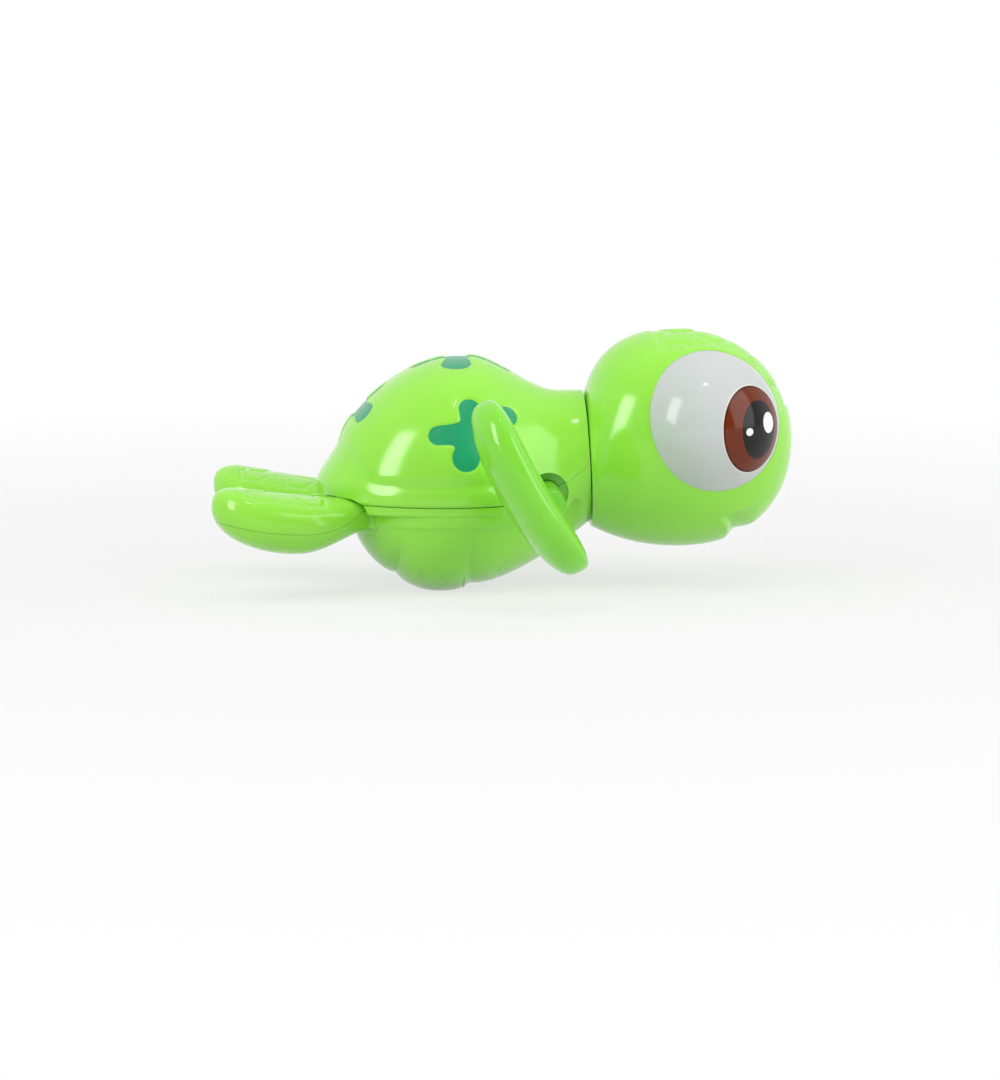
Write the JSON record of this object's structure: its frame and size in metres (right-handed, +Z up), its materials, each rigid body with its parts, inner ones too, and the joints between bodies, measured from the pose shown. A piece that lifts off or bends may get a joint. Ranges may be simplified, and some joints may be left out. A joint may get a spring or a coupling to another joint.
{
  "type": "wind-up bath toy",
  "caption": "Round lime-green swimming turtle with big white eyes: a spring clockwork inside two body shells turns its front flippers; the head turns and the rear flippers swing.",
  "frame": {"origin": "middle of the flat under the belly, on the surface that the toy rests on", "axes": "+X towards the nose, +Y to the toy's left, +Z up"},
  "size_m": [0.1289, 0.1128, 0.0569],
  "materials": {
    "green_abs": "glossy lime-green moulding, with painted spots on the upper shell",
    "white_abs": "glossy white dome, printed with a brown iris and a black pupil",
    "acetal": "natural acetal",
    "grey_abs": "grey moulding",
    "steel": "drawn steel",
    "spring_steel": "blued spring steel",
    "brass": "turned brass",
    "seal_rubber": "black rubber"
  },
  "bodies": {
    "body": {"upper_shell": "green_abs", "lower_shell": "green_abs", "shell_screw_1": "steel", "shell_screw_2": "steel", "shell_screw_3": "steel", "shell_screw_4": "steel", "screw_plug_1": "green_abs", "screw_plug_2": "green_abs", "screw_plug_3": "green_abs", "screw_plug_4": "green_abs", "neck_bush": "acetal", "motor_plate_left": "grey_abs", "motor_plate_right": "grey_abs", "motor_pillar_front": "steel", "motor_pillar_rear": "steel", "motor_pillar_low": "steel", "mainspring": "spring_steel", "idler_pin": "steel", "governor_pin": "steel", "axle_seal_left": "seal_rubber", "axle_seal_right": "seal_rubber"},
    "head": {"head_left": "green_abs", "head_right": "green_abs", "eye_left": "white_abs", "eye_right": "white_abs"},
    "paddles": {"output_axle": "steel", "axle_pinion": "brass", "front_flipper_left": "green_abs", "front_flipper_right": "green_abs"},
    "spring_wheel": {"great_wheel": "acetal", "spring_arbor": "steel"},
    "idler": {"idler_wheel": "acetal"},
    "governor": {"governor_wheel": "brass"},
    "rear_left": {"rear_flipper_left_top": "green_abs", "rear_flipper_left_base": "green_abs"},
    "rear_right": {"rear_flipper_right_top": "green_abs", "rear_flipper_right_base": "green_abs"}
  },
  "joints": [
    {"name": "paddle_spin", "type": "hinge", "parent": "body", "child": "paddles", "pos_m": [0.0196, 0, 0.02234], "axis": [0, 1, 0], "continuous": true},
    {"name": "spring_spin", "type": "hinge", "parent": "body", "child": "spring_wheel", "pos_m": [0.00128, 0, 0.02901], "axis": [0, 1, 0], "continuous": true},
    {"name": "idler_spin", "type": "hinge", "parent": "body", "child": "idler", "pos_m": [-0.01027, 0, 0.01424], "axis": [0, 1, 0], "continuous": true},
    {"name": "governor_spin", "type": "hinge", "parent": "body", "child": "governor", "pos_m": [-0.00064, 0, 0.01073], "axis": [0, 1, 0], "continuous": true},
    {"name": "head_turn", "type": "hinge", "parent": "body", "child": "head", "pos_m": [0.029, 0, 0.0286], "axis": [0.9986, 0, 0.0523], "continuous": true},
    {"name": "rear_left_swing", "type": "hinge", "parent": "body", "child": "rear_left", "pos_m": [-0.018, 0.0126, 0], "axis": [0, 0, -1], "range_deg": [-12, 12]},
    {"name": "rear_right_swing", "type": "hinge", "parent": "body", "child": "rear_right", "pos_m": [-0.018, -0.0126, 0], "axis": [0, 0, 1], "range_deg": [-12, 12]}
  ],
  "couplings": [
    {"joint": "spring_spin", "follows": "paddle_spin", "ratio": -0.3},
    {"joint": "idler_spin", "follows": "paddle_spin", "ratio": 1.2},
    {"joint": "governor_spin", "follows": "paddle_spin", "ratio": -4.2667}
  ]
}
